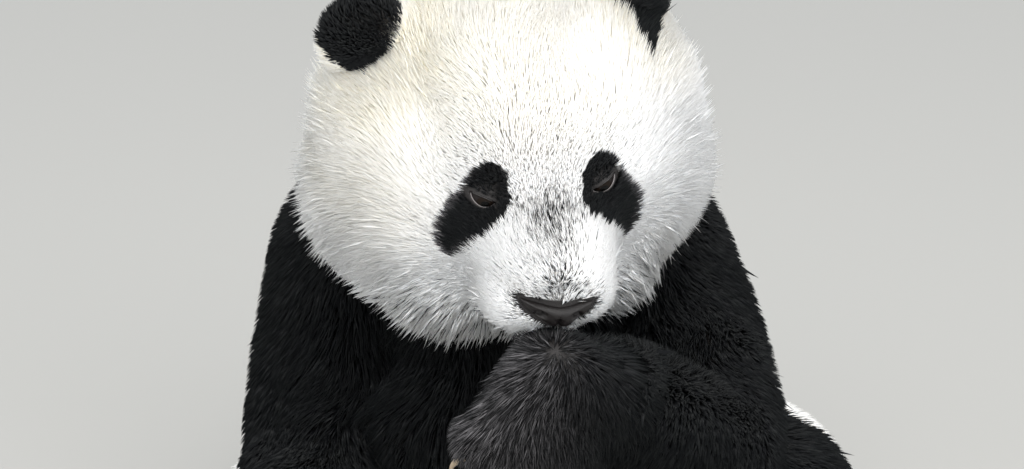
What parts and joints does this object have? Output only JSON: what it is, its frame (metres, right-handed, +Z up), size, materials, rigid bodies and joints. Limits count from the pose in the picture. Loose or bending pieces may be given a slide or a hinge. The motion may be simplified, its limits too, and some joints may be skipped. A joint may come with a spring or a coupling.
{
  "type": "giant panda",
  "caption": "Young giant panda, life size, sitting upright with one forepaw held to its mouth.",
  "frame": {"origin": "on the floor, under the middle of the animal's outline seen from above", "axes": "+Z up, the animal faces -Y, its left side is +X"},
  "size_m": [0.4798, 0.513, 0.5476],
  "materials": {
    "white_coat": "thick cream-white fur",
    "black_coat": "thick black fur",
    "nose_skin": "bare damp skin, pebbled",
    "eye_brown": "wet dark brown eye",
    "horn": "pale brown horn"
  },
  "bodies": {
    "root": {"head": "white_coat", "muzzle": "white_coat", "neck": "white_coat", "trunk": "white_coat", "tail": "white_coat", "chest": "black_coat", "ear_left": "black_coat", "ear_right": "black_coat", "upper_arm_left": "black_coat", "upper_arm_right": "black_coat", "forearm_left": "black_coat", "forearm_right": "black_coat", "forepaw_left": "black_coat", "forepaw_right": "black_coat", "thigh_left": "black_coat", "thigh_right": "black_coat", "shank_left": "black_coat", "shank_right": "black_coat", "hindpaw_left": "black_coat", "hindpaw_right": "black_coat", "nose": "nose_skin", "eye_left": "eye_brown", "eye_right": "eye_brown", "claw_forepaw_left_1": "horn", "claw_forepaw_left_2": "horn", "claw_forepaw_left_3": "horn", "claw_forepaw_left_4": "horn", "claw_forepaw_left_5": "horn", "claw_forepaw_right_1": "horn", "claw_forepaw_right_2": "horn", "claw_forepaw_right_3": "horn", "claw_forepaw_right_4": "horn", "claw_forepaw_right_5": "horn", "claw_hindpaw_left_1": "horn", "claw_hindpaw_left_2": "horn", "claw_hindpaw_left_3": "horn", "claw_hindpaw_left_4": "horn", "claw_hindpaw_left_5": "horn", "claw_hindpaw_right_1": "horn", "claw_hindpaw_right_2": "horn", "claw_hindpaw_right_3": "horn", "claw_hindpaw_right_4": "horn", "claw_hindpaw_right_5": "horn"}
  },
  "joints": []
}
